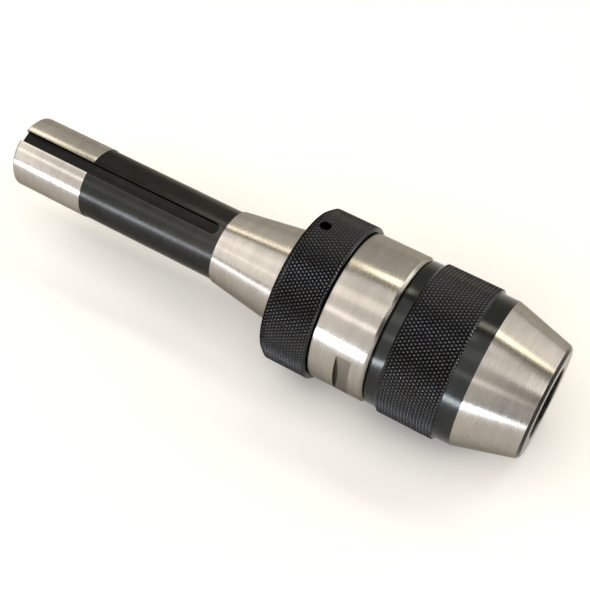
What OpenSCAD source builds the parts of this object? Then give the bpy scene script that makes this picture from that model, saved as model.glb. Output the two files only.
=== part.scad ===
// Keyless drill chuck made in one with an R8 shank, capacity 1 to 13 mm, drawn fully open.
// The axis lies along X: the shank's rear end is at -X and the nose at +X.
// The origin is on the axis at the gauge plane, where the R8 taper is at its largest.
// Lengths are in millimetres. Angles about the axis run from +Y towards +Z.

/* [Shank] */
// Length from the shank's rear end to the gauge plane
shank_length = 101.6; // [90:0.1:110]
// Radius of the ground rear land
land_r = 12.05; // [11:0.01:13]
// Length of the ground rear land
land_length = 27.3; // [20:0.1:40]
// Radius of the black neck between land and taper
neck_r = 11.8; // [10:0.05:12]
// Radius of the taper at the gauge plane
gauge_r = 15.875; // [15:0.005:17]
// Half angle of the taper in degrees
taper_half_angle = 8.425; // [8:0.005:9]
// Axial length of the taper behind the gauge plane
taper_length = 23.8; // [20:0.1:30]
// Chamfer on the shank's rear edge
rear_chamfer = 0.7; // [0:0.1:1.5]
// Width of the keyway
keyway_width = 3.97; // [3:0.01:5]
// Distance of the keyway's floor from the axis
keyway_floor_r = 9.6; // [8:0.1:11]
// Length of the keyway from the rear end, with its round end
keyway_length = 76; // [30:1:77]
// Angle of the keyway about the axis
keyway_angle = 105.2; // [0:0.1:360]
// Radius of the drawbar thread's bore
drawbar_r = 4.96; // [4:0.01:6]
// Depth of the drawbar thread
drawbar_depth = 32; // [20:1:45]

/* [Rear collar] */
// Rear face of the knurled collar
collar_rear_x = 2.3; // [1:0.1:5]
// Front face of the knurled collar
collar_front_x = 18.33; // [15:0.01:22]
// Radius of the collar over the knurl
collar_r = 25.7; // [24:0.05:28]
// Length of the collar's rear chamfer
collar_rear_chamfer = 1.5; // [0.5:0.1:3]
// Drop in radius over the rear chamfer
collar_rear_drop = 1.3; // [0.5:0.1:3]
// Chamfer on the collar's front edge
collar_front_chamfer = 0.7; // [0.2:0.1:2]
// Axial place of the spanner hole
spanner_hole_x = 6.7; // [5:0.1:15]
// Radius of the spanner hole
spanner_hole_r = 1.8; // [1:0.1:2.5]
// Depth of the spanner hole
spanner_hole_depth = 5; // [2:0.5:7]
// Angle of the spanner hole about the axis
spanner_hole_angle = 75; // [0:0.5:360]

/* [Body sleeve] */
// Radius of the ground body sleeve
body_r = 24.18; // [22:0.01:26]
// Front end of the ground surface
body_front_x = 36.89; // [33:0.01:40]
// Chamfer at the front of the ground surface
body_chamfer = 1.0; // [0.3:0.1:2]
// Rear edge of the wrench flats
flat_rear_x = 27.25; // [24:0.05:30]
// Width of the wrench flats along the axis
flat_width = 4.95; // [3:0.05:8]
// Distance of each wrench flat from the axis
flat_distance = 22.28; // [21.5:0.01:24]

/* [Hood] */
// Start of the hood's full rear land
hood_land_x = 37.89; // [36:0.01:40]
// Radius of the hood's rear land
hood_land_r = 23.71; // [22:0.01:25]
// Start of the knurled band
knurl_rear_x = 41.4; // [40:0.1:45]
// Front end of the knurled band
knurl_front_x = 60.2; // [50:0.1:64]
// Radius of the hood over the knurl
knurl_r = 24.68; // [23:0.01:26]
// Chamfer at both ends of the knurled band
knurl_chamfer = 0.8; // [0.2:0.1:1.5]
// Radius of the smooth land ahead of the knurl
front_land_r = 23.6; // [22:0.01:25]
// Rear end of the ground cone
cone_rear_x = 65.78; // [60:0.01:70]
// Front end of the ground cone
cone_front_x = 84.33; // [80:0.01:90]
// Radius at the cone's front end
cone_front_r = 18.34; // [16:0.01:20]
// Front face of the nose
nose_x = 85.22; // [84:0.01:92]
// Radius of the nose face's outer edge
nose_r = 17.22; // [15:0.01:19]
// Radius at which the mouth's inner cone would meet the nose face
mouth_r = 11.15; // [9:0.01:13]
// Bevel that breaks the edge of the mouth
mouth_bevel = 0.45; // [0.1:0.05:1]

/* [Jaws and screw] */
// Radius between the jaws when fully open
open_r = 6.5; // [5:0.1:8]
// Half angle of the hood's inner cone in degrees
grip_half_angle = 16; // [12:0.5:20]
// Axial travel from fully open to fully closed
grip_travel = 21; // [15:0.5:23]
// Width of each jaw
jaw_width = 8.4; // [6:0.1:10]
// Front end of the jaws when open
jaw_front_x = 84.0; // [80:0.1:85]
// Rear end of the jaws' wide part when open
jaw_rear_x = 54.2; // [50:0.1:60]
// Radius of the screw over its thread
screw_r = 8.0; // [6:0.1:9]
// Radius of the screw's head
head_r = 10.4; // [9:0.1:12]
// Rear face of the screw's head when open
head_rear_x = 41.3; // [40:0.1:45]
// Front face of the screw's head when open
head_front_x = 50.3; // [48:0.1:54]

/* [Thrust bearing] */
// Number of balls
ball_count = 24; // [12:1:30]
// Radius of each ball
ball_r = 1.0; // [0.8:0.1:1.5]
// Radius of the circle of ball centres
ball_circle_r = 18.8; // [18:0.1:20]
// Axial place of the ball centres
ball_x = 24.3; // [23:0.1:26]

/* [Hidden] */
$fn = 96;
// Cuts run this far past the faces they open
past = 1;
// Running clearance between parts that turn or slide on each other
running = 0.05;
// Clearance between parts that are fixed to each other
fixed_gap = 0.03;

taper_slope = tan(taper_half_angle);
shank_rear_x = -shank_length;
land_front_x = shank_rear_x + land_length;
taper_rear_x = -taper_length;
taper_rear_r = gauge_r - taper_length * taper_slope;
// Centre of the keyway's round end
keyway_round_x = shank_rear_x + keyway_length - keyway_width / 2;
// Countersink at the mouth of the drawbar hole and depth of its drill point
countersink = 1.2;
drill_point = 3;

// Rear-facing shoulder on the hub that stops the collar's inner lip
collar_stop_x = 3.3;
taper_front_r = gauge_r + collar_stop_x * taper_slope;
collar_lip_r = 16.5;
collar_seat_r = 16.8;
// Plain journal on the hub that carries the sleeve's rear web
hub_journal_r = 17.0;
hub_journal_x = 18.4;
// Flange on the hub that takes the thrust of the bearing
flange_r = 20.4;
flange_rear_x = 26.85;
flange_front_x = 31.0;
// Barrel that holds the left-hand thread for the screw
barrel_r = 12.5;
barrel_front_x = 40.3;
screw_bore_rear_x = 4.6;

// Rear web and main bore of the body sleeve
sleeve_rear_x = 18.6;
sleeve_rear_chamfer = 0.3;
web_front_x = 21.75;
sleeve_bore_r = 20.6;
// Spigot of the body sleeve that screws into the hood
spigot_r = 22.1;
spigot_front_x = 48.6;

// Counterbore of the hood that takes the spigot and the guide's ring
hood_rear_x = 37.0;
hood_rear_r = 22.9;
counterbore_front_x = 53.5;
grip_slope = tan(grip_half_angle);

// Slotted jaw guide
guide_rear_x = 48.8;
guide_ring_r = 22.0;
guide_front_x = 83.7;
guide_rear_bore_r = 10.75;
guide_step_x = 72.2;
guide_front_bore_r = 7.0;
slot_rear_x = 53.9;

// Dowels between the guide and the hood
pin_count = 3;
pin_r = 0.6;
pin_circle_r = 21.15;
pin_rear_x = 50.2;
pin_front_x = 56.6;
pin_first_angle = 30;

// Races and cage of the thrust bearing
race_face_gap = 0.75;
race_thickness = 1.8;
groove_clearance = 0.02;
groove_r = ball_r + groove_clearance;
cage_thickness = 0.9;
cage_inner_r = 17.25;
cage_outer_r = 20.35;
sleeve_race_inner_r = 17.3;
hub_race_outer_r = 20.2;

// Tee-shaped tails of the jaws and the slots that hold them
foot_half_width = 3.7;
neck_half_width = 2.2;
tail_outer_r = 10.3;
foot_rear_x = 44.5;
foot_front_x = 47.5;
tee_gap = 0.1;
screw_rear_x = 5.6;
screw_end_chamfer = 1.2;

// Half width of the jaw's gripping edge
jaw_inner_half_width = 0.7;
// Inclined round back of the jaw, cut from a bar that reaches past both ends
jaw_back_r = 10.4;
jaw_back_reach = 60;
// Bevel on the jaw's outer front edge
jaw_bevel_start_r = 8.2;
jaw_bevel_length = 3.4;
// Slope of the two faces of the vee front, 120 degrees between neighbouring jaws
vee_slope = tan(60);
jaw_half = jaw_width / 2;
jaw_angles = [90, 210, 330];

// A solid of revolution about X from a list of [radius, x] points
module turned(profile)
    rotate([0, 90, 0])
        rotate_extrude()
            polygon(profile);

// A plain cylinder about X between two stations
module round_bar(x0, x1, r)
    translate([x0, 0, 0])
        rotate([0, 90, 0])
            cylinder(h = x1 - x0, r = r);

// A ring about X between two stations
module ring(x0, x1, inner_r, outer_r)
    turned([[inner_r, x0], [outer_r, x0], [outer_r, x1], [inner_r, x1]]);

// A box given by its low and high corners
module block(low, high)
    translate(low)
        cube(high - low);

// Radius of the hood's inner cone at a station
function cone_r(x) = mouth_r + (nose_x - x) * grip_slope;

module shank_profile()
    turned([
        [0, shank_rear_x],
        [land_r - rear_chamfer, shank_rear_x],
        [land_r, shank_rear_x + rear_chamfer],
        [land_r, land_front_x],
        [neck_r, land_front_x],
        [neck_r, taper_rear_x],
        [taper_rear_r, taper_rear_x],
        [taper_front_r, collar_stop_x],
        [collar_seat_r, collar_stop_x],
        [collar_seat_r, hub_journal_x],
        [hub_journal_r, hub_journal_x],
        [hub_journal_r, flange_rear_x],
        [flange_r, flange_rear_x],
        [flange_r, flange_front_x],
        [barrel_r, flange_front_x],
        [barrel_r, barrel_front_x],
        [0, barrel_front_x]
    ]);

// Keyway with the round end left by the cutter
module keyway()
    rotate([keyway_angle, 0, 0])
        translate([0, keyway_floor_r, 0]) {
            block([shank_rear_x - past, 0, -keyway_width / 2],
                [keyway_round_x, land_r, keyway_width / 2]);
            translate([keyway_round_x, 0, 0])
                rotate([-90, 0, 0])
                    cylinder(h = land_r, r = keyway_width / 2);
        }

// Threaded hole for the drawbar, with a countersunk mouth and a drill point
module drawbar_hole()
    turned([
        [0, shank_rear_x - past],
        [drawbar_r + countersink, shank_rear_x - past],
        [drawbar_r + countersink, shank_rear_x],
        [drawbar_r, shank_rear_x + countersink],
        [drawbar_r, shank_rear_x + drawbar_depth],
        [0, shank_rear_x + drawbar_depth + drill_point]
    ]);

module r8_shank()
    color([0.62, 0.61, 0.58])
        difference() {
            shank_profile();
            keyway();
            drawbar_hole();
            round_bar(screw_bore_rear_x, barrel_front_x + past, screw_r + running);
        }

module rear_collar()
    color([0.05, 0.05, 0.05])
        difference() {
            turned([
                [collar_lip_r, collar_rear_x],
                [collar_r - collar_rear_drop, collar_rear_x],
                [collar_r, collar_rear_x + collar_rear_chamfer],
                [collar_r, collar_front_x - collar_front_chamfer],
                [collar_r - collar_front_chamfer, collar_front_x],
                [collar_seat_r + fixed_gap, collar_front_x],
                [collar_seat_r + fixed_gap, collar_stop_x],
                [collar_lip_r, collar_stop_x]
            ]);
            rotate([spanner_hole_angle, 0, 0])
                translate([spanner_hole_x, collar_r - spanner_hole_depth, 0])
                    rotate([-90, 0, 0])
                        cylinder(h = spanner_hole_depth + past, r = spanner_hole_r);
        }

// Groove that the balls run in, as a full torus
module ball_track()
    rotate([0, 90, 0])
        translate([0, 0, ball_x])
            rotate_extrude()
                translate([ball_circle_r, 0])
                    circle(r = groove_r, $fn = 32);

module hub_race()
    color([0.55, 0.55, 0.56])
        difference() {
            ring(ball_x + race_face_gap, ball_x + race_face_gap + race_thickness,
                hub_journal_r + fixed_gap, hub_race_outer_r);
            ball_track();
        }

module sleeve_race()
    color([0.55, 0.55, 0.56])
        difference() {
            ring(web_front_x, ball_x - race_face_gap,
                sleeve_race_inner_r, sleeve_bore_r - fixed_gap);
            ball_track();
        }

module thrust_balls()
    color([0.75, 0.75, 0.77])
        for (i = [0 : ball_count - 1])
            rotate([i * 360 / ball_count, 0, 0])
                translate([ball_x, ball_circle_r, 0])
                    sphere(r = ball_r, $fn = 24);

module ball_cage()
    color([0.72, 0.55, 0.25])
        difference() {
            ring(ball_x - cage_thickness / 2, ball_x + cage_thickness / 2,
                cage_inner_r, cage_outer_r);
            for (i = [0 : ball_count - 1])
                rotate([i * 360 / ball_count, 0, 0])
                    translate([ball_x - cage_thickness, ball_circle_r, 0])
                        rotate([0, 90, 0])
                            cylinder(h = 2 * cage_thickness, r = ball_r + running, $fn = 24);
        }

module body_sleeve()
    color([0.66, 0.64, 0.60])
        difference() {
            turned([
                [hub_journal_r + running, sleeve_rear_x],
                [body_r - sleeve_rear_chamfer, sleeve_rear_x],
                [body_r, sleeve_rear_x + sleeve_rear_chamfer],
                [body_r, body_front_x - body_chamfer],
                [body_r - body_chamfer, body_front_x],
                [spigot_r, body_front_x],
                [spigot_r, spigot_front_x],
                [sleeve_bore_r, spigot_front_x],
                [sleeve_bore_r, web_front_x],
                [hub_journal_r + running, web_front_x]
            ]);
            for (side = [0, 180])
                rotate([side, 0, 0])
                    block([flat_rear_x, flat_distance, -body_r],
                        [flat_rear_x + flat_width, body_r + past, body_r]);
        }

module hood_profile()
    turned([
        [spigot_r + fixed_gap, hood_rear_x],
        [hood_rear_r, hood_rear_x],
        [hood_land_r, hood_land_x],
        [hood_land_r, knurl_rear_x],
        [knurl_r - knurl_chamfer, knurl_rear_x],
        [knurl_r, knurl_rear_x + knurl_chamfer],
        [knurl_r, knurl_front_x - knurl_chamfer / 2],
        [knurl_r - knurl_chamfer / 2, knurl_front_x],
        [front_land_r, knurl_front_x],
        [front_land_r, cone_rear_x],
        [cone_front_r, cone_front_x],
        [nose_r, nose_x],
        [mouth_r + mouth_bevel, nose_x],
        [cone_r(nose_x - mouth_bevel), nose_x - mouth_bevel],
        [cone_r(counterbore_front_x), counterbore_front_x],
        [spigot_r + fixed_gap, counterbore_front_x]
    ]);

// The dowels, made larger all round by a given clearance
module pin_set(extra)
    for (i = [0 : pin_count - 1])
        rotate([pin_first_angle + i * 360 / pin_count, 0, 0])
            translate([pin_rear_x - extra, pin_circle_r, 0])
                rotate([0, 90, 0])
                    cylinder(h = pin_front_x - pin_rear_x + 2 * extra, r = pin_r + extra, $fn = 32);

module hood()
    color([0.07, 0.07, 0.07])
        difference() {
            hood_profile();
            pin_set(fixed_gap);
        }

// One radial slot for a jaw, open at the front
module jaw_slot()
    block([slot_rear_x, 0, -jaw_half - running],
        [guide_front_x + past, guide_ring_r, jaw_half + running]);

module jaw_guide()
    color([0.45, 0.45, 0.46])
        difference() {
            turned([
                [guide_rear_bore_r, guide_rear_x],
                [guide_ring_r, guide_rear_x],
                [guide_ring_r, counterbore_front_x - fixed_gap],
                [cone_r(counterbore_front_x) - running, counterbore_front_x - fixed_gap],
                [cone_r(guide_front_x) - running, guide_front_x],
                [guide_front_bore_r, guide_front_x],
                [guide_front_bore_r, guide_step_x],
                [guide_rear_bore_r, guide_step_x]
            ]);
            for (angle = jaw_angles)
                rotate([angle, 0, 0])
                    jaw_slot();
            pin_set(fixed_gap);
        }

module guide_pins()
    color([0.70, 0.70, 0.72])
        pin_set(0);

// Cross-section of a jaw along the axis: radius against half width, with the vee front
module jaw_section(half_width, outer_r)
    polygon([
        [open_r, -jaw_inner_half_width],
        [vee_r(half_width), -half_width],
        [outer_r, -half_width],
        [outer_r, half_width],
        [vee_r(half_width), half_width],
        [open_r, jaw_inner_half_width]
    ]);

// Radius at which the vee front has opened out to a given half width
function vee_r(half_width) = open_r + (half_width - jaw_inner_half_width) / vee_slope;

// A straight bar with the jaw's section, between two stations, with the radius along +Y
module jaw_bar(x0, x1, half_width, outer_r)
    translate([x0, 0, 0])
        rotate([90, 0, 90])
            linear_extrude(height = x1 - x0)
                jaw_section(half_width, outer_r);

// Inclined round bar that gives the jaw its back, tangent to the hood's cone
module jaw_back()
    translate([nose_x - jaw_back_r * sin(grip_half_angle),
            mouth_r - running - jaw_back_r * cos(grip_half_angle), 0])
        rotate([0, 0, -grip_half_angle])
            round_bar(-jaw_back_reach, jaw_back_reach, jaw_back_r);

// Bevel on the outer front edge of a jaw
module jaw_bevel()
    translate([0, 0, -jaw_half - past])
        linear_extrude(height = jaw_width + 2 * past)
            polygon([
                [jaw_front_x + past, jaw_bevel_start_r - past],
                [jaw_front_x + past, jaw_bevel_start_r + 2 * jaw_bevel_length],
                [jaw_front_x - jaw_bevel_length, jaw_bevel_start_r + 2 * jaw_bevel_length],
                [jaw_front_x - jaw_bevel_length, jaw_bevel_start_r + jaw_bevel_length]
            ]);

module jaw() {
    difference() {
        intersection() {
            jaw_bar(jaw_rear_x, jaw_front_x, jaw_half, guide_ring_r);
            jaw_back();
        }
        jaw_bevel();
    }
    jaw_bar(foot_rear_x, foot_front_x, foot_half_width, tail_outer_r);
    jaw_bar(foot_rear_x, jaw_rear_x + past, neck_half_width, tail_outer_r);
}

module jaw_at(index)
    color([0.58, 0.58, 0.60])
        rotate([jaw_angles[index], 0, 0])
            jaw();

module jaw_1()
    jaw_at(0);

module jaw_2()
    jaw_at(1);

module jaw_3()
    jaw_at(2);

// Tee slot in the screw's head for one jaw's tail
module tee_slot() {
    block([foot_rear_x - tee_gap, 0, -foot_half_width - tee_gap],
        [foot_front_x + tee_gap, head_r + past, foot_half_width + tee_gap]);
    block([foot_rear_x - tee_gap, 0, -neck_half_width - tee_gap],
        [head_front_x + past, head_r + past, neck_half_width + tee_gap]);
}

module draw_screw()
    color([0.50, 0.50, 0.52])
        difference() {
            turned([
                [0, screw_rear_x],
                [screw_r - screw_end_chamfer, screw_rear_x],
                [screw_r, screw_rear_x + screw_end_chamfer],
                [screw_r, head_rear_x],
                [head_r, head_rear_x],
                [head_r, head_front_x],
                [0, head_front_x]
            ]);
            for (angle = jaw_angles)
                rotate([angle, 0, 0])
                    tee_slot();
        }

r8_shank();
rear_collar();
hub_race();
thrust_balls();
ball_cage();
sleeve_race();
body_sleeve();
hood();
jaw_guide();
guide_pins();
jaw_1();
jaw_2();
jaw_3();
draw_screw();
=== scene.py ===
"""Looks of the keyless drill chuck with an R8 shank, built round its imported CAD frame."""

import math

import bmesh
import bpy
from mathutils import Matrix, Vector


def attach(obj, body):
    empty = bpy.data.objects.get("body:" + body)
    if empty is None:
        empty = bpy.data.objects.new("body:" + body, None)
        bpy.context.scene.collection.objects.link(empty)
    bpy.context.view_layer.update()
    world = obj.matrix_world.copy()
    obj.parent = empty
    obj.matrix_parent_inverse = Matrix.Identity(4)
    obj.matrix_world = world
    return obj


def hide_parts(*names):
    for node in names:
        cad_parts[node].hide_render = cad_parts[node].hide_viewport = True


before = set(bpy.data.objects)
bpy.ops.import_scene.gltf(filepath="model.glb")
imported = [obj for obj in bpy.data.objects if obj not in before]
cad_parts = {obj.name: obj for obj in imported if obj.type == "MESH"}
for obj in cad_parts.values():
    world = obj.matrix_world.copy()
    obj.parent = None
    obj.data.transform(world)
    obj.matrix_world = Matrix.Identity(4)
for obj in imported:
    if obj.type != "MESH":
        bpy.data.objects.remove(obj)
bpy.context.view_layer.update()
scene = bpy.context.scene

# Sizes are in millimetres, and angles about the axis are in degrees from +Y towards +Z.
MM = 0.001

# Shank
SHANK_REAR_X = -101.6
LAND_R = 12.05
LAND_FRONT_X = -74.3
NECK_R = 11.8
TAPER_REAR_X = -23.8
TAPER_SLOPE = math.tan(math.radians(8.425))
GAUGE_R = 15.875
REAR_CHAMFER = 0.7
KEYWAY_WIDTH = 3.97
KEYWAY_FLOOR_R = 9.6
KEYWAY_LENGTH = 76.0
KEYWAY_ANGLE = 105.2
THREAD_MINOR_R = 4.96
THREAD_MAJOR_R = 5.5
THREAD_PITCH = 1.27
THREAD_DEPTH_X = 32.0
COUNTERSINK = 1.2
DRILL_POINT = 3.0
# A thread's flanks are this much steeper than a plain zigzag, which leaves its root flat.
THREAD_STEEPNESS = 1.25
THREAD_STEPS = 8
COLLAR_STOP_X = 3.3
COLLAR_SEAT_R = 16.8
JOURNAL_X = 18.4
JOURNAL_R = 17.0
FLANGE_REAR_X = 26.85
FLANGE_FRONT_X = 31.0
FLANGE_R = 20.4
BARREL_R = 12.5
BARREL_FRONT_X = 40.3
SCREW_BORE_R = 8.05
SCREW_BORE_REAR_X = 4.6

# Rear collar
COLLAR_REAR_X = 2.3
COLLAR_FRONT_X = 18.33
COLLAR_R = 25.7
COLLAR_LIP_R = 16.5
COLLAR_BORE_R = 16.83
COLLAR_REAR_CHAMFER = 1.5
COLLAR_REAR_DROP = 1.3
COLLAR_FRONT_CHAMFER = 0.7
SPANNER_HOLE_X = 6.7
SPANNER_HOLE_R = 1.8
SPANNER_HOLE_DEPTH = 5.0
SPANNER_HOLE_ANGLE = 75.0

# Body sleeve
SLEEVE_REAR_X = 18.6
SLEEVE_R = 24.18
SLEEVE_FRONT_X = 36.89
SLEEVE_CHAMFER = 1.0
SLEEVE_REAR_BLEND = 0.3
SLEEVE_WEB_R = 17.05
SLEEVE_WEB_FRONT_X = 21.75
SLEEVE_BORE_R = 20.6
SPIGOT_R = 22.1
SPIGOT_FRONT_X = 48.6
FLAT_REAR_X = 27.25
FLAT_WIDTH = 4.95
FLAT_DISTANCE = 22.28

# Hood
HOOD_REAR_X = 37.0
HOOD_REAR_R = 22.9
HOOD_LAND_X = 37.89
HOOD_LAND_R = 23.71
KNURL_REAR_X = 41.4
KNURL_FRONT_X = 60.2
KNURL_R = 24.68
KNURL_CHAMFER = 0.8
FRONT_LAND_R = 23.6
CONE_REAR_X = 65.78
CONE_FRONT_X = 84.33
CONE_FRONT_R = 18.34
NOSE_X = 85.22
NOSE_R = 17.22
MOUTH_R = 11.15
MOUTH_BEVEL = 0.45
COUNTERBORE_R = 22.13
COUNTERBORE_FRONT_X = 53.5
GRIP_HALF_ANGLE = math.radians(16)

# Diamond knurl: two sets of grooves at about 31 degrees to the axis, about a millimetre apart
KNURL_STEP_ROUND = 1.21
KNURL_STEP_ALONG = 1.01
KNURL_DEPTH = 0.40
KNURL_FLAT = 0.13
# Share of that depth halfway up the collar's rear chamfer, where the grooves run out
CHAMFER_SHARE = 0.6

# Thrust bearing
BALL_COUNT = 24
BALL_R = 1.0
BALL_CLEARANCE = 0.005
BALL_CIRCLE_R = 18.8
BALL_X = 24.3

# Jaws
JAW_ANGLES = (90, 210, 330)
JAW_OPEN_R = 6.5
JAW_HALF_WIDTH = 4.2
JAW_EDGE_HALF_WIDTH = 0.7
JAW_VEE_HALF_ANGLE = math.radians(60)
JAW_REAR_X = 54.2
JAW_FRONT_X = 84.0
JAW_BACK_R = 10.4
JAW_BEVEL_R = 8.2
JAW_BEVEL_LENGTH = 3.4
JAW_CLEARANCE = 0.05
JAW_FOOT_X = (44.5, 47.5)
JAW_FOOT_HALF_WIDTH = 3.7
JAW_NECK_HALF_WIDTH = 2.2
JAW_TAIL_R = 10.3
# Half the length of the round bar that the jaw's back is cut from
JAW_BAR_REACH = 60.0

# Fineness of the meshes
SEGMENTS = 256
HOLE_SEGMENTS = 48
JAW_BACK_SEGMENTS = 96
KEYWAY_ARC_STEP = 10
BALL_SUBDIVISIONS = 4
SHARP_ANGLE = math.radians(32)
WELD = 0.001 * MM

# Radius that blends turned edges, and bevels that break milled ones
EDGE = 0.12
KEYWAY_BREAK = 0.1
MILLED_BREAK = 0.15
BREAK_ANGLE = math.radians(40)

# How far a cutter, or a bar that is joined on, runs past a surface
OVERRUN = 1.0

# Studio, with the power of a softbox of strength 1 in watts per square metre
FLOOR_HALF_SIZE = 4000.0
STRIP_WATTS = 4.0

# Camera
CAMERA_AZIMUTH = math.radians(30.907)
CAMERA_ELEVATION = math.radians(56.315)
CAMERA_AIM = (3.08, -5.03, 0)
CAMERA_DISTANCE = 360.25
CAMERA_LENS = 71.3
CAMERA_SENSOR = 36


class Shell:
    """The points and faces of one turned piece while it is built, with a finish for each face."""

    def __init__(self):
        self.points = []
        self.crests = []
        self.faces = []
        self.finishes = []

    def point(self, x, r, turn, crest=0.0):
        """Adds a point at station x and radius r, at a share of a turn from +Y. Returns its index."""
        angle = 2 * math.pi * turn
        self.points.append((x, r * math.cos(angle), r * math.sin(angle)))
        self.crests.append(crest)
        return len(self.points) - 1

    def ring(self, x, r, count):
        """A ring of points, or one point on the axis."""
        if r == 0:
            return [self.point(x, 0, 0)]
        return [self.point(x, r, i / count) for i in range(count)]

    def face(self, corners, finish):
        self.faces.append(corners)
        self.finishes.append(finish)

    def bridge(self, a, b, finish):
        """Faces between two rings of the same count, or between a ring and a point on the axis."""
        count = max(len(a), len(b))
        for i in range(count):
            j = (i + 1) % count
            if len(a) == 1:
                self.face((a[0], b[j], b[i]), finish)
            elif len(b) == 1:
                self.face((a[i], a[j], b[0]), finish)
            else:
                self.face((a[i], a[j], b[j], b[i]), finish)

    def turned(self, path, count, start=None):
        """A surface turned from (x, r, finish) points, on from a first ring. Returns the last ring."""
        last = start
        for i, (x, r, finish) in enumerate(path):
            if i == 0 and start is not None:
                continue
            ring = self.ring(x, r, count)
            if last is not None:
                self.bridge(last, ring, path[i - 1][2])
            last = ring
        return last

    def piece(self, name, materials):
        """The finished object, with its materials in the order of the finishes' numbers."""
        mesh = bpy.data.meshes.new(name)
        scaled = [tuple(MM * c for c in p) for p in self.points]
        mesh.from_pydata(scaled, [], self.faces)
        mesh.polygons.foreach_set("material_index", self.finishes)
        crest = mesh.attributes.new("crest", "FLOAT", "POINT")
        crest.data.foreach_set("value", self.crests)
        for material in materials:
            mesh.materials.append(material)
        obj = bpy.data.objects.new(name, mesh)
        scene.collection.objects.link(obj)
        tidy_mesh(mesh)
        return obj


def tidy_mesh(mesh):
    """Welds doubled points, turns all faces outwards and smooths all but the sharp edges."""
    bm = bmesh.new()
    bm.from_mesh(mesh)
    bmesh.ops.remove_doubles(bm, verts=bm.verts, dist=WELD)
    bmesh.ops.dissolve_degenerate(bm, edges=bm.edges, dist=WELD)
    bmesh.ops.recalc_face_normals(bm, faces=bm.faces)
    for face in bm.faces:
        face.smooth = True
    bm.to_mesh(mesh)
    bm.free()
    mesh.set_sharp_from_angle(angle=SHARP_ANGLE)


def rounded(stations, steps=3):
    """(x, r, blend, finish) stations as (x, r, finish) points, with each blended corner made an arc."""
    path = []
    for i, (x, r, blend, finish) in enumerate(stations):
        if blend == 0:
            path.append((x, r, finish))
            continue
        corner = Vector((x, r))
        back = (Vector(stations[i - 1][:2]) - corner).normalized()
        ahead = (Vector(stations[i + 1][:2]) - corner).normalized()
        half = back.angle(ahead) / 2
        centre = corner + (back + ahead).normalized() * blend / math.sin(half)
        start = corner + back * blend / math.tan(half) - centre
        end = corner + ahead * blend / math.tan(half) - centre
        sweep = start.angle(end)
        for step in range(steps + 1):
            share = step / steps
            spoke = start * math.sin((1 - share) * sweep) + end * math.sin(share * sweep)
            spot = centre + spoke / math.sin(sweep)
            before = stations[i - 1][3]
            path.append((spot.x, spot.y, finish if share >= 0.5 else before))
    return path


def knurl(shell, rows, diamonds, finish):
    """A diamond knurl over rows of (x, r, normal x, normal r, depth). Returns its first and last rings.

    The grooves cross at every other point of each row, and a flat-topped pyramid stands at the others.
    """
    fractions = (0.0, KNURL_FLAT, 1 - KNURL_FLAT)
    halves = 2 * diamonds
    rings = []
    for k in range(len(rows)):
        for down in fractions:
            if k == len(rows) - 1 and down > 0:
                break
            low = Vector(rows[k])
            high = Vector(rows[min(k + 1, len(rows) - 1)])
            x, r, nx, nr, depth = low.lerp(high, down)
            ring = []
            for i in range(halves):
                for along in fractions:
                    if (i + k) % 2 == 0:
                        height = abs(along - down)
                    else:
                        height = abs(along + down - 1)
                    height = min(height, 1 - KNURL_FLAT) / (1 - KNURL_FLAT)
                    drop = depth * (1 - height)
                    turn = (i + along) / halves
                    ring.append(shell.point(x - nx * drop, r - nr * drop, turn, height))
            rings.append(ring)
    per_half = len(fractions)
    for row in range(len(rings) - 1):
        a, b = rings[row], rings[row + 1]
        for i in range(len(a)):
            j = (i + 1) % len(a)
            if (i // per_half + row // per_half) % 2 == 0:
                shell.face((a[i], a[j], b[j]), finish)
                shell.face((a[i], b[j], b[i]), finish)
            else:
                shell.face((a[i], a[j], b[i]), finish)
                shell.face((a[j], b[j], b[i]), finish)
    return rings[0], rings[-1]


def run_out(shell, plain, cut, finish):
    """Faces where grooves run out, from a plain ring to a knurled one of three times its points."""
    count = len(plain)
    for i in range(count):
        j = (i + 1) % count
        a, b, c, d = (cut[(3 * i + n) % len(cut)] for n in range(4))
        shell.face((plain[i], b, a), finish)
        shell.face((plain[i], plain[j], c, b), finish)
        shell.face((plain[j], d, c), finish)


def thread(shell, count, finish):
    """The threaded drawbar hole with its countersunk mouth. Returns its two end rings."""
    steps = THREAD_STEPS * (math.ceil(THREAD_DEPTH_X / THREAD_PITCH) + 2)

    def spot(i, j):
        share = j / THREAD_STEPS + i / count - 1
        depth_x = min(max(share * THREAD_PITCH, 0), THREAD_DEPTH_X)
        wave = abs((share % 1) * 2 - 1)
        fade = min(1, (THREAD_DEPTH_X - depth_x) / THREAD_PITCH)
        groove = (THREAD_MAJOR_R - THREAD_MINOR_R) * min(1, wave * THREAD_STEEPNESS) * fade
        cone = THREAD_MINOR_R + COUNTERSINK - depth_x
        r = max(THREAD_MINOR_R + groove, cone)
        return shell.point(SHANK_REAR_X + depth_x, r, i / count)

    columns = [[spot(i, j) for j in range(steps + 1)] for i in range(count)]
    for i in range(count):
        shift = THREAD_STEPS if i == count - 1 else 0
        a, b = columns[i], columns[(i + 1) % count]
        for j in range(len(a) - 1 - shift):
            shell.face((a[j], a[j + 1], b[j + 1 + shift], b[j + shift]), finish)
    mouth = shell.ring(SHANK_REAR_X, THREAD_MINOR_R + COUNTERSINK, count)
    bottom = shell.ring(SHANK_REAR_X + THREAD_DEPTH_X, THREAD_MINOR_R, count)
    return mouth, bottom


def solid(points, faces):
    """A closed helper solid from points in millimetres."""
    mesh = bpy.data.meshes.new("helper")
    mesh.from_pydata([tuple(MM * c for c in p) for p in points], [], faces)
    obj = bpy.data.objects.new("helper", mesh)
    scene.collection.objects.link(obj)
    tidy_mesh(mesh)
    return obj


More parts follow.
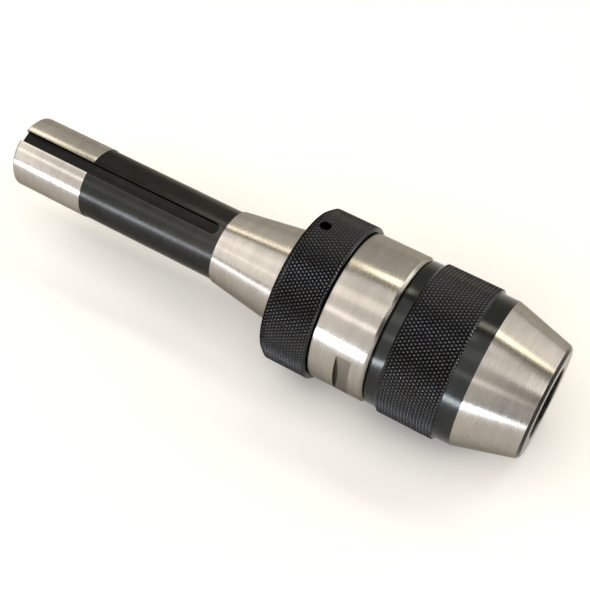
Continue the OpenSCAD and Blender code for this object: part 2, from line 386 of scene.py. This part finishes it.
def prism(outline, low, high, turn=Matrix.Identity(4)):
    """A solid with an outline of (u, v) points, extruded along w from low to high, then turned."""
    count = len(outline)
    points = [turn @ Vector((u, v, w)) for w in (low, high) for u, v in outline]
    sides = [(i, (i + 1) % count, (i + 1) % count + count, i + count) for i in range(count)]
    ends = [tuple(range(count))[::-1], tuple(range(count, 2 * count))]
    return solid(points, sides + ends)


def disc(r, count):
    """The outline of a circle."""
    angles = [2 * math.pi * i / count for i in range(count)]
    return [(r * math.cos(a), r * math.sin(a)) for a in angles]


def about_axis(angle):
    """The turn about X that takes +Y to an angle about the chuck's axis."""
    return Matrix.Rotation(math.radians(angle), 4, "X")


def combine(obj, tool, operation):
    """Cuts, joins or intersects obj with a helper solid, which is then deleted."""
    modifier = obj.modifiers.new("combine", "BOOLEAN")
    modifier.object = tool
    modifier.operation = operation
    modifier.solver = "EXACT"
    apply_modifiers(obj)
    bpy.data.objects.remove(tool)
    tidy_mesh(obj.data)


def apply_modifiers(obj):
    """Makes the modified mesh the object's own."""
    graph = bpy.context.evaluated_depsgraph_get()
    made = bpy.data.meshes.new_from_object(obj.evaluated_get(graph))
    obj.modifiers.clear()
    obj.data = made


def break_edges(obj, width):
    """A small bevel on the edges where faces meet at more than BREAK_ANGLE."""
    modifier = obj.modifiers.new("edges", "BEVEL")
    modifier.width = width * MM
    modifier.segments = 2
    modifier.limit_method = "ANGLE"
    modifier.angle_limit = BREAK_ANGLE
    apply_modifiers(obj)
    tidy_mesh(obj.data)


def new_material(name):
    """A node material, its nodes, the function that links them and its Principled shader."""
    material = bpy.data.materials.new(name)
    material.use_nodes = True
    tree = material.node_tree
    shader = tree.nodes["Principled BSDF"]
    return material, tree.nodes, tree.links.new, shader


def stretched_noise(nodes, link, scale, detail=3.0):
    """Noise over the object's own coordinates, stretched by a scale for each axis in 1/m."""
    coordinates = nodes.new("ShaderNodeTexCoord")
    mapping = nodes.new("ShaderNodeMapping")
    mapping.inputs["Scale"].default_value = scale
    noise = nodes.new("ShaderNodeTexNoise")
    noise.inputs["Scale"].default_value = 1.0
    noise.inputs["Detail"].default_value = detail
    link(coordinates.outputs["Object"], mapping.inputs["Vector"])
    link(mapping.outputs["Vector"], noise.inputs["Vector"])
    return noise.outputs["Fac"]


def spread(nodes, link, value, low, high, low_in=0.3, high_in=0.7):
    """A value rescaled from its input range to low..high."""
    remap = nodes.new("ShaderNodeMapRange")
    remap.inputs["From Min"].default_value = low_in
    remap.inputs["From Max"].default_value = high_in
    remap.inputs["To Min"].default_value = low
    remap.inputs["To Max"].default_value = high
    link(value, remap.inputs["Value"])
    return remap.outputs["Result"]


def tint(nodes, link, value, dark, light):
    """A colour between dark and light, mixed by a value."""
    mix = nodes.new("ShaderNodeMix")
    mix.data_type = "RGBA"
    mix.inputs["A"].default_value = (*dark, 1)
    mix.inputs["B"].default_value = (*light, 1)
    link(value, mix.inputs["Factor"])
    return mix.outputs["Result"]


def relief(nodes, link, shader, height, distance, strength):
    """Bump on a shader from a height value, with the distance in millimetres."""
    bump = nodes.new("ShaderNodeBump")
    bump.inputs["Strength"].default_value = strength
    bump.inputs["Distance"].default_value = distance * MM
    link(height, bump.inputs["Height"])
    link(bump.outputs["Normal"], shader.inputs["Normal"])


def metal(nodes, link, shader, colour, roughness, edge):
    """Makes a shader metallic, with its grazing reflections held down to an edge tint."""
    shader.inputs["Metallic"].default_value = 1.0
    shader.inputs["Specular Tint"].default_value = (*edge, 1)
    link(colour, shader.inputs["Base Color"])
    link(roughness, shader.inputs["Roughness"])


def round_marks(nodes, link, shader):
    """Draws a shader's highlights out across marks that run round the axis."""
    tangent = nodes.new("ShaderNodeTangent")
    tangent.direction_type = "RADIAL"
    tangent.axis = "X"
    link(tangent.outputs["Tangent"], shader.inputs["Tangent"])
    shader.inputs["Anisotropic"].default_value = 0.85
    shader.inputs["Anisotropic Rotation"].default_value = 0.25


def ground_steel(name, dark, light, roughness):
    """Cylindrically ground steel: fine marks round the axis that draw highlights out along it."""
    material, nodes, link, shader = new_material(name)
    marks = stretched_noise(nodes, link, (2600, 60, 60), detail=4)
    bands = stretched_noise(nodes, link, (420, 90, 90))
    colour = tint(nodes, link, spread(nodes, link, bands, 0, 1), dark, light)
    rough = spread(nodes, link, marks, roughness * 0.9, roughness * 1.1)
    metal(nodes, link, shader, colour, rough, STEEL_EDGE)
    round_marks(nodes, link, shader)
    relief(nodes, link, shader, marks, 0.004, 0.06)
    return material


def faced_steel(name, dark, light, roughness):
    """Steel faced on a lathe: fine rings round the axis."""
    material, nodes, link, shader = new_material(name)
    coordinates = nodes.new("ShaderNodeTexCoord")
    flatten = nodes.new("ShaderNodeVectorMath")
    flatten.operation = "MULTIPLY"
    flatten.inputs[1].default_value = (0, 1, 1)
    link(coordinates.outputs["Object"], flatten.inputs[0])
    radius = nodes.new("ShaderNodeVectorMath")
    radius.operation = "LENGTH"
    link(flatten.outputs["Vector"], radius.inputs[0])
    noise = nodes.new("ShaderNodeTexNoise")
    noise.noise_dimensions = "1D"
    noise.inputs["Scale"].default_value = 2600
    link(radius.outputs["Value"], noise.inputs["W"])
    rings = noise.outputs["Fac"]
    colour = tint(nodes, link, spread(nodes, link, rings, 0, 1), dark, light)
    rough = spread(nodes, link, rings, roughness * 0.9, roughness * 1.1)
    metal(nodes, link, shader, colour, rough, STEEL_EDGE)
    round_marks(nodes, link, shader)
    relief(nodes, link, shader, rings, 0.004, 0.12)
    return material


def milled_steel(name, dark, light, roughness):
    """Milled steel with straight cutter marks across the piece."""
    material, nodes, link, shader = new_material(name)
    marks = stretched_noise(nodes, link, (2200, 90, 90))
    colour = tint(nodes, link, spread(nodes, link, marks, 0, 1), dark, light)
    rough = spread(nodes, link, marks, roughness * 0.8, roughness * 1.2)
    metal(nodes, link, shader, colour, rough, STEEL_EDGE)
    relief(nodes, link, shader, marks, 0.005, 0.15)
    return material


def black_oxide(name, dark, light, roughness, edge):
    """Oiled black oxide on steel, slightly uneven in depth and gloss."""
    material, nodes, link, shader = new_material(name)
    cloud = stretched_noise(nodes, link, (160, 160, 160))
    marks = stretched_noise(nodes, link, (2600, 90, 90))
    colour = tint(nodes, link, spread(nodes, link, cloud, 0, 1), dark, light)
    rough = spread(nodes, link, marks, roughness * 0.85, roughness * 1.2)
    metal(nodes, link, shader, colour, rough, edge)
    relief(nodes, link, shader, marks, 0.003, 0.06)
    return material


def knurled_oxide(name):
    """Black oxide on the knurl, lighter on the crests: partly rubbed where hands wear them, partly
    painted highlight.
    """
    material, nodes, link, shader = new_material(name)
    crest = nodes.new("ShaderNodeAttribute")
    crest.attribute_name = "crest"
    cloud = stretched_noise(nodes, link, (700, 700, 700))
    # Lighter crests: rubbed wear and painted highlight together.
    wear_and_highlight = nodes.new("ShaderNodeMath")
    wear_and_highlight.operation = "MULTIPLY"
    link(spread(nodes, link, crest.outputs["Fac"], 0, 1, 0.65, 1.0), wear_and_highlight.inputs[0])
    link(spread(nodes, link, cloud, 0.3, 1.0), wear_and_highlight.inputs[1])
    colour = tint(nodes, link, wear_and_highlight.outputs["Value"], (0.021, 0.021, 0.021), (0.155, 0.155, 0.162))
    rough = spread(nodes, link, cloud, 0.29, 0.37)
    metal(nodes, link, shader, colour, rough, KNURLED_EDGE)
    relief(nodes, link, shader, cloud, 0.01, 0.2)
    return material


def plain_metal(name, dark, light, roughness, size):
    """Machined metal with no direction to its finish, for pieces inside the chuck."""
    material, nodes, link, shader = new_material(name)
    cloud = stretched_noise(nodes, link, (size, size, size))
    colour = tint(nodes, link, spread(nodes, link, cloud, 0, 1), dark, light)
    rough = spread(nodes, link, cloud, roughness * 0.85, roughness * 1.15)
    link(colour, shader.inputs["Base Color"])
    link(rough, shader.inputs["Roughness"])
    shader.inputs["Metallic"].default_value = 1.0
    relief(nodes, link, shader, cloud, 0.003, 0.08)
    return material


# Tints of the grazing reflections
STEEL_EDGE = (0.5, 0.49, 0.46)
OXIDE_EDGE = (0.74, 0.74, 0.74)
NECK_EDGE = (0.62, 0.62, 0.60)
# The knurl's low edge tint is painted shade: it darkens grazing reflections where the facets shade each
# other.
KNURLED_EDGE = (0.1, 0.1, 0.1)

# Finishes
GROUND = ground_steel("ground_steel", (0.315, 0.293, 0.262), (0.36, 0.335, 0.30), 0.26)
FACED = faced_steel("faced_steel", (0.50, 0.49, 0.465), (0.64, 0.63, 0.605), 0.24)
# The flats' cutter marks are real, but their tone darker than the ground steel is painted shade from
# the shaded floor they reflect.
SHADED_MILLED = milled_steel("milled_steel", (0.19, 0.18, 0.165), (0.25, 0.235, 0.21), 0.2)
OXIDE = black_oxide("black_oxide", (0.028, 0.030, 0.028), (0.036, 0.038, 0.036), 0.17, OXIDE_EDGE)
NECK_OXIDE = black_oxide(
    "neck_black_oxide", (0.024, 0.024, 0.022), (0.030, 0.030, 0.028), 0.24, NECK_EDGE)
# The keyway's oxide is darker than the neck's: painted shade in the slot.
KEYWAY_SHADED_OXIDE = black_oxide(
    "keyway_oxide_painted_shade", (0.011, 0.011, 0.010), (0.014, 0.014, 0.013), 0.3, NECK_EDGE)
KNURLED = knurled_oxide("knurled_black_oxide")
HARDENED = plain_metal("hardened_steel", (0.25, 0.245, 0.235), (0.29, 0.284, 0.272), 0.3, 900)
BEARING = plain_metal("bearing_steel", (0.60, 0.60, 0.62), (0.72, 0.72, 0.74), 0.10, 1500)
BRASS = plain_metal("cage_brass", (0.52, 0.36, 0.14), (0.66, 0.47, 0.20), 0.30, 800)

# Places of the finishes in each turned piece's list of materials
GROUND_FACE, OXIDE_FACE, KNURLED_FACE, FACED_FACE = 0, 1, 2, 3


def build_shank():
    """The R8 shank with its hub, keyway and threaded drawbar hole."""
    shell = Shell()
    taper_rear_r = GAUGE_R + TAPER_REAR_X * TAPER_SLOPE
    taper_front_r = GAUGE_R + COLLAR_STOP_X * TAPER_SLOPE
    mouth, bottom = thread(shell, SEGMENTS, OXIDE_FACE)
    tip = shell.ring(SHANK_REAR_X + THREAD_DEPTH_X + DRILL_POINT, 0, SEGMENTS)
    shell.bridge(tip, bottom, OXIDE_FACE)
    outside = rounded([
        (SHANK_REAR_X, THREAD_MINOR_R + COUNTERSINK, 0, OXIDE_FACE),
        (SHANK_REAR_X, LAND_R - REAR_CHAMFER, EDGE, OXIDE_FACE),
        (SHANK_REAR_X + REAR_CHAMFER, LAND_R, EDGE, GROUND_FACE),
        (LAND_FRONT_X, LAND_R, EDGE, OXIDE_FACE),
        (LAND_FRONT_X, NECK_R, EDGE, OXIDE_FACE),
        (TAPER_REAR_X, NECK_R, EDGE, OXIDE_FACE),
        (TAPER_REAR_X, taper_rear_r, EDGE, GROUND_FACE),
        (COLLAR_STOP_X, taper_front_r, 0, GROUND_FACE),
        (COLLAR_STOP_X, COLLAR_SEAT_R, 0, GROUND_FACE),
        (JOURNAL_X, COLLAR_SEAT_R, 0, GROUND_FACE),
        (JOURNAL_X, JOURNAL_R, 0, GROUND_FACE),
        (FLANGE_REAR_X, JOURNAL_R, 0, GROUND_FACE),
        (FLANGE_REAR_X, FLANGE_R, EDGE, GROUND_FACE),
        (FLANGE_FRONT_X, FLANGE_R, EDGE, GROUND_FACE),
        (FLANGE_FRONT_X, BARREL_R, 0, GROUND_FACE),
        (BARREL_FRONT_X, BARREL_R, EDGE, GROUND_FACE),
        (BARREL_FRONT_X, SCREW_BORE_R, EDGE, GROUND_FACE),
        (SCREW_BORE_REAR_X, SCREW_BORE_R, 0, GROUND_FACE),
        (SCREW_BORE_REAR_X, 0, 0, GROUND_FACE),
    ])
    shell.turned(outside, SEGMENTS, start=mouth)
    shank = shell.piece("r8_shank_finished", [GROUND, NECK_OXIDE, KEYWAY_SHADED_OXIDE])
    cut_keyway(shank)
    return shank


def cut_keyway(shank):
    """Cuts the keyway, which is black inside because only the land's outside is ground; its darker
    oxide is painted shade in the slot.
    """
    half = KEYWAY_WIDTH / 2
    round_x = SHANK_REAR_X + KEYWAY_LENGTH - half
    arc = [math.radians(a) for a in range(-90, 91, KEYWAY_ARC_STEP)]
    outline = [(SHANK_REAR_X - OVERRUN, half), (SHANK_REAR_X - OVERRUN, -half)]
    outline += [(round_x + half * math.cos(a), half * math.sin(a)) for a in arc]
    upright = about_axis(KEYWAY_ANGLE - 90)
    cutter = prism(outline, KEYWAY_FLOOR_R, LAND_R + OVERRUN, upright)
    cutter.data.materials.append(KEYWAY_SHADED_OXIDE)
    combine(shank, cutter, "DIFFERENCE")
    break_edges(shank, KEYWAY_BREAK)


def build_collar():
    """The knurled rear collar with its spanner hole."""
    diamonds = round(2 * math.pi * COLLAR_R / KNURL_STEP_ROUND)
    count = 2 * diamonds
    shell = Shell()
    chamfer = Vector((COLLAR_REAR_CHAMFER, COLLAR_REAR_DROP))
    slope = Vector((-chamfer.y, chamfer.x)).normalized()
    corner = (slope + Vector((0, 1))).normalized()
    rear = (COLLAR_REAR_X, COLLAR_R - COLLAR_REAR_DROP)
    rows = [
        (*rear, *slope, 0.0),
        (rear[0] + chamfer.x / 2, rear[1] + chamfer.y / 2, *slope, CHAMFER_SHARE * KNURL_DEPTH),
        (rear[0] + chamfer.x, COLLAR_R, *corner, KNURL_DEPTH),
    ]
    start_x = rear[0] + chamfer.x
    end_x = COLLAR_FRONT_X - COLLAR_FRONT_CHAMFER
    steps = round((end_x - start_x) / KNURL_STEP_ALONG)
    rows += [
        (start_x + (end_x - start_x) * i / steps, COLLAR_R, 0.0, 1.0, KNURL_DEPTH)
        for i in range(1, steps + 1)
    ]
    first, last = knurl(shell, rows, diamonds, KNURLED_FACE)
    front = shell.ring(end_x + KNURL_DEPTH, COLLAR_R - KNURL_DEPTH, count)
    run_out(shell, front, last, OXIDE_FACE)
    rest = rounded([
        (end_x + KNURL_DEPTH, COLLAR_R - KNURL_DEPTH, 0, OXIDE_FACE),
        (COLLAR_FRONT_X, COLLAR_R - COLLAR_FRONT_CHAMFER, EDGE, OXIDE_FACE),
        (COLLAR_FRONT_X, COLLAR_BORE_R, EDGE, OXIDE_FACE),
        (COLLAR_STOP_X, COLLAR_BORE_R, 0, OXIDE_FACE),
        (COLLAR_STOP_X, COLLAR_LIP_R, 0, OXIDE_FACE),
        (COLLAR_REAR_X, COLLAR_LIP_R, EDGE, OXIDE_FACE),
        (COLLAR_REAR_X, rear[1] - KNURL_DEPTH, 0, OXIDE_FACE),
    ])
    back = shell.turned(rest, count, start=front)
    run_out(shell, back, first, OXIDE_FACE)
    collar = shell.piece("rear_collar_knurled", [GROUND, OXIDE, KNURLED])
    upright = about_axis(SPANNER_HOLE_ANGLE - 90) @ Matrix.Translation((SPANNER_HOLE_X, 0, 0))
    outline = disc(SPANNER_HOLE_R, HOLE_SEGMENTS)
    cutter = prism(outline, COLLAR_R - SPANNER_HOLE_DEPTH, COLLAR_R + OVERRUN, upright)
    cutter.data.materials.append(OXIDE)
    combine(collar, cutter, "DIFFERENCE")
    return collar


def build_sleeve():
    """The ground body sleeve with its two wrench flats."""
    shell = Shell()
    path = rounded([
        (SLEEVE_REAR_X, SLEEVE_WEB_R, 0, GROUND_FACE),
        (SLEEVE_REAR_X, SLEEVE_R, SLEEVE_REAR_BLEND, GROUND_FACE),
        (SLEEVE_FRONT_X - SLEEVE_CHAMFER, SLEEVE_R, EDGE, GROUND_FACE),
        (SLEEVE_FRONT_X, SLEEVE_R - SLEEVE_CHAMFER, EDGE, GROUND_FACE),
        (SLEEVE_FRONT_X, SPIGOT_R, 0, GROUND_FACE),
        (SPIGOT_FRONT_X, SPIGOT_R, EDGE, GROUND_FACE),
        (SPIGOT_FRONT_X, SLEEVE_BORE_R, EDGE, GROUND_FACE),
        (SLEEVE_WEB_FRONT_X, SLEEVE_BORE_R, 0, GROUND_FACE),
        (SLEEVE_WEB_FRONT_X, SLEEVE_WEB_R, 0, GROUND_FACE),
        (SLEEVE_REAR_X, SLEEVE_WEB_R, 0, GROUND_FACE),
    ])
    shell.turned(path, SEGMENTS)
    sleeve = shell.piece("body_sleeve_ground", [GROUND, SHADED_MILLED])
    for side in (0, 180):
        window = [
            (FLAT_REAR_X, -SLEEVE_R),
            (FLAT_REAR_X + FLAT_WIDTH, -SLEEVE_R),
            (FLAT_REAR_X + FLAT_WIDTH, SLEEVE_R),
            (FLAT_REAR_X, SLEEVE_R),
        ]
        cutter = prism(window, FLAT_DISTANCE, SLEEVE_R + OVERRUN, about_axis(side - 90))
        cutter.data.materials.append(SHADED_MILLED)
        combine(sleeve, cutter, "DIFFERENCE")
    break_edges(sleeve, MILLED_BREAK)
    return sleeve


def build_hood():
    """The hood: black lands, knurled grip, ground cone, bright nose face and open mouth."""
    diamonds = round(2 * math.pi * KNURL_R / KNURL_STEP_ROUND)
    count = 2 * diamonds
    shell = Shell()
    start_x = KNURL_REAR_X + KNURL_CHAMFER
    end_x = KNURL_FRONT_X - KNURL_CHAMFER / 2
    steps = round((end_x - start_x) / KNURL_STEP_ALONG)
    rows = [
        (start_x + (end_x - start_x) * i / steps, KNURL_R, 0.0, 1.0, KNURL_DEPTH)
        for i in range(steps + 1)
    ]
    first, last = knurl(shell, rows, diamonds, KNURLED_FACE)
    floor_r = KNURL_R - KNURL_DEPTH
    rear = rounded([
        (COUNTERBORE_FRONT_X, mouth_cone_r(COUNTERBORE_FRONT_X), 0, OXIDE_FACE),
        (COUNTERBORE_FRONT_X, COUNTERBORE_R, 0, OXIDE_FACE),
        (HOOD_REAR_X, COUNTERBORE_R, EDGE, OXIDE_FACE),
        (HOOD_REAR_X, HOOD_REAR_R, EDGE, OXIDE_FACE),
        (HOOD_LAND_X, HOOD_LAND_R, EDGE, OXIDE_FACE),
        (KNURL_REAR_X, HOOD_LAND_R, EDGE, OXIDE_FACE),
        (KNURL_REAR_X, KNURL_R - KNURL_CHAMFER, 0, OXIDE_FACE),
        (start_x - KNURL_DEPTH, floor_r, 0, OXIDE_FACE),
    ])
    run_out(shell, shell.turned(rear, count), first, OXIDE_FACE)
    front = rounded([
        (end_x + KNURL_DEPTH, floor_r, 0, OXIDE_FACE),
        (KNURL_FRONT_X, FRONT_LAND_R, EDGE, OXIDE_FACE),
        (CONE_REAR_X, FRONT_LAND_R, EDGE, GROUND_FACE),
        (CONE_FRONT_X, CONE_FRONT_R, EDGE, OXIDE_FACE),
        (NOSE_X, NOSE_R, EDGE, FACED_FACE),
        (NOSE_X, MOUTH_R + MOUTH_BEVEL, EDGE, OXIDE_FACE),
        (NOSE_X - MOUTH_BEVEL, mouth_cone_r(NOSE_X - MOUTH_BEVEL), EDGE, OXIDE_FACE),
        (COUNTERBORE_FRONT_X, mouth_cone_r(COUNTERBORE_FRONT_X), 0, OXIDE_FACE),
    ])
    plain = shell.ring(front[0][0], front[0][1], count)
    run_out(shell, plain, last, OXIDE_FACE)
    shell.turned(front, count, start=plain)
    return shell.piece("hood_knurled", [GROUND, OXIDE, KNURLED, FACED])


def mouth_cone_r(x):
    """Radius of the hood's inner cone at a station."""
    return MOUTH_R + (NOSE_X - x) * math.tan(GRIP_HALF_ANGLE)


def jaw_section(half_width, outer_r):
    """Cross-section of a jaw across the axis, as (across, radius) points with its vee front."""
    vee_r = JAW_OPEN_R + (half_width - JAW_EDGE_HALF_WIDTH) / math.tan(JAW_VEE_HALF_ANGLE)
    return [
        (-JAW_EDGE_HALF_WIDTH, JAW_OPEN_R),
        (-half_width, vee_r),
        (-half_width, outer_r),
        (half_width, outer_r),
        (half_width, vee_r),
        (JAW_EDGE_HALF_WIDTH, JAW_OPEN_R),
    ]


def build_jaw(index):
    """One jaw: a vee-fronted bar with a round inclined back and a tee-shaped tail."""
    # Turns a prism to run along the axis, with its outline's height as the radius
    along = Matrix(((0, 0, 1, 0), (0, 1, 0, 0), (-1, 0, 0, 0), (0, 0, 0, 1)))
    jaw = prism(jaw_section(JAW_HALF_WIDTH, COUNTERBORE_R), JAW_REAR_X, JAW_FRONT_X, along)
    centre = Matrix.Translation((
        NOSE_X - JAW_BACK_R * math.sin(GRIP_HALF_ANGLE),
        MOUTH_R - JAW_CLEARANCE - JAW_BACK_R * math.cos(GRIP_HALF_ANGLE),
        0,
    ))
    lean = centre @ Matrix.Rotation(-GRIP_HALF_ANGLE, 4, "Z") @ along
    bar = prism(disc(JAW_BACK_R, JAW_BACK_SEGMENTS), -JAW_BAR_REACH, JAW_BAR_REACH, lean)
    combine(jaw, bar, "INTERSECT")
    bevel = [
        (JAW_FRONT_X + OVERRUN, JAW_BEVEL_R - OVERRUN),
        (JAW_FRONT_X + OVERRUN, JAW_BEVEL_R + 2 * JAW_BEVEL_LENGTH),
        (JAW_FRONT_X - JAW_BEVEL_LENGTH, JAW_BEVEL_R + 2 * JAW_BEVEL_LENGTH),
        (JAW_FRONT_X - JAW_BEVEL_LENGTH, JAW_BEVEL_R + JAW_BEVEL_LENGTH),
    ]
    combine(jaw, prism(bevel, -JAW_HALF_WIDTH - OVERRUN, JAW_HALF_WIDTH + OVERRUN), "DIFFERENCE")
    neck = jaw_section(JAW_NECK_HALF_WIDTH, JAW_TAIL_R)
    combine(jaw, prism(neck, JAW_FOOT_X[0] + OVERRUN, JAW_REAR_X + OVERRUN, along), "UNION")
    foot = jaw_section(JAW_FOOT_HALF_WIDTH, JAW_TAIL_R)
    combine(jaw, prism(foot, *JAW_FOOT_X, along), "UNION")
    jaw.data.materials.clear()
    jaw.data.materials.append(HARDENED)
    break_edges(jaw, MILLED_BREAK)
    jaw.data.transform(about_axis(JAW_ANGLES[index]))
    jaw.name = f"jaw_{index + 1}_ground"
    return jaw


def build_balls():
    """The balls of the thrust bearing, each a finely divided sphere."""
    bm = bmesh.new()
    centre = Matrix.Translation(Vector((BALL_X, BALL_CIRCLE_R, 0)) * MM)
    radius = (BALL_R - BALL_CLEARANCE) * MM
    for i in range(BALL_COUNT):
        spot = about_axis(360 * i / BALL_COUNT) @ centre
        bmesh.ops.create_icosphere(bm, subdivisions=BALL_SUBDIVISIONS, radius=radius, matrix=spot)
    mesh = bpy.data.meshes.new("thrust_balls_polished")
    bm.to_mesh(mesh)
    bm.free()
    mesh.materials.append(BEARING)
    balls = bpy.data.objects.new("thrust_balls_polished", mesh)
    scene.collection.objects.link(balls)
    tidy_mesh(mesh)
    return balls


def place(piece, body, node):
    """Puts a finished piece on its body in place of its CAD node."""
    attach(piece, body)
    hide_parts(node)


def dress(node, material):
    """Gives a CAD node that stays in view its finish."""
    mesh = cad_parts[node].data
    mesh.materials.clear()
    mesh.materials.append(material)


def strip_light(name, angle, x, distance, width, length, strength, colour):
    """A softbox parallel to the axis, facing it from an angle in degrees, with lengths in metres."""
    data = bpy.data.lights.new(name, "AREA")
    data.shape = "RECTANGLE"
    data.size = length
    data.size_y = width
    data.energy = STRIP_WATTS * width * length * strength
    data.color = colour
    light = bpy.data.objects.new(name, data)
    scene.collection.objects.link(light)
    a = math.radians(angle)
    outwards = Vector((0, math.cos(a), math.sin(a)))
    along = Vector((1, 0, 0))
    facing = Matrix((along, outwards.cross(along), outwards)).transposed().to_4x4()
    light.matrix_world = Matrix.Translation(outwards * distance + along * x) @ facing
    light.visible_camera = False


def build_floor():
    """A pale floor, leaning so that the chuck rests on its collar and its hood."""
    lean = (COLLAR_R - KNURL_R) / (KNURL_FRONT_X - COLLAR_FRONT_X)
    size = FLOOR_HALF_SIZE * MM
    low = -COLLAR_R * MM
    pivot = COLLAR_FRONT_X * MM
    spots = ((-size, -size), (size, -size), (size, size), (-size, size))
    corners = [(x, y, low + (x - pivot) * lean) for x, y in spots]
    mesh = bpy.data.meshes.new("floor")
    mesh.from_pydata(corners, [], [(0, 1, 2, 3)])
    floor = bpy.data.objects.new("floor", mesh)
    scene.collection.objects.link(floor)
    material, nodes, link, shader = new_material("floor")
    cloud = stretched_noise(nodes, link, (12, 12, 12))
    colour = tint(nodes, link, cloud, (0.69, 0.675, 0.655), (0.71, 0.695, 0.677))
    link(colour, shader.inputs["Base Color"])
    shader.inputs["Roughness"].default_value = 0.5
    shader.inputs["Specular IOR Level"].default_value = 0.2
    mesh.materials.append(material)


def build_lights():
    """An even surround and long softboxes."""
    world = bpy.data.worlds.new("surround")
    world.use_nodes = True
    background = world.node_tree.nodes["Background"]
    background.inputs["Color"].default_value = (1.0, 0.97, 0.90, 1)
    background.inputs["Strength"].default_value = 0.22
    scene.world = world
    strip_light("overhead", 121, -0.5, 0.9, 2.0, 2.0, 0.92, (1.0, 0.975, 0.94))
    strip_light("rear_overhead", 124, -1.38, 1.0, 2.2, 1.12, 1.4, (1.0, 0.97, 0.93))
    strip_light("front_overhead", 83, 0.27, 1.0, 0.18, 0.3, 1.6, (1.0, 0.96, 0.90))
    strip_light("key", 60, 0.09, 0.5, 0.07, 0.48, 5.0, (1.0, 0.95, 0.74))
    strip_light("rear_key", 59, -0.47, 0.5, 0.09, 0.3, 4.5, (1.0, 0.95, 0.74))
    strip_light("left_fill", 106, -0.475, 1.05, 0.28, 1.45, 0.75, (1.0, 0.95, 0.84))
    strip_light("right_fill", 136, -0.3, 1.05, 0.13, 1.8, 1.5, (1.0, 0.97, 0.97))
    strip_light("window", 177.5, -0.19, 1.0, 0.14, 1.22, 16.0, (0.82, 0.89, 1.0))
    strip_light("front_window", 165, 1.5, 1.0, 0.5, 0.9, 2.5, (0.97, 0.98, 1.0))
    strip_light("front_lamp", 95, 0.9, 0.7, 0.4, 0.4, 8.0, (1.0, 0.99, 0.97))
    strip_light("wall", 27, 0.0, 1.0, 1.16, 3.0, 0.43, (1.0, 0.96, 0.86))
    strip_light("rear_wall", 32, -1.2, 1.1, 1.1, 1.0, 0.3, (1.0, 0.96, 0.86))
    strip_light("end_wall", 28, 0.66, 1.15, 1.1, 0.85, 0.85, (1.0, 0.985, 0.95))
    strip_light("end_window", 16, 0.8, 0.54, 0.36, 0.7, 2.0, (1.0, 0.99, 0.96))


def build_camera():
    """The camera, high on the -Y side and a little ahead, looking down on the chuck."""
    aim = Vector(CAMERA_AIM) * MM
    distance = CAMERA_DISTANCE * MM
    back = Vector((
        math.sin(CAMERA_AZIMUTH) * math.cos(CAMERA_ELEVATION),
        -math.cos(CAMERA_AZIMUTH) * math.cos(CAMERA_ELEVATION),
        math.sin(CAMERA_ELEVATION),
    ))
    data = bpy.data.cameras.new("camera")
    data.lens = CAMERA_LENS
    data.sensor_width = CAMERA_SENSOR
    data.clip_start = 0.01
    camera = bpy.data.objects.new("camera", data)
    camera.location = aim + back * distance
    camera.rotation_euler = (-back).to_track_quat("-Z", "Y").to_euler()
    scene.collection.objects.link(camera)
    scene.camera = camera
    scene.view_settings.view_transform = "Standard"


place(build_shank(), "shank", "r8_shank")
place(build_collar(), "shank", "rear_collar")
place(build_sleeve(), "sleeve", "body_sleeve")
place(build_hood(), "sleeve", "hood")
for number, jaw_body in enumerate(("jaw_a", "jaw_b", "jaw_c")):
    place(build_jaw(number), jaw_body, f"jaw_{number + 1}")
place(build_balls(), "cage", "thrust_balls")
for node in ("jaw_guide", "guide_pins", "draw_screw"):
    dress(node, HARDENED)
for node in ("hub_race", "sleeve_race"):
    dress(node, BEARING)
dress("ball_cage", BRASS)
build_floor()
build_lights()
build_camera()
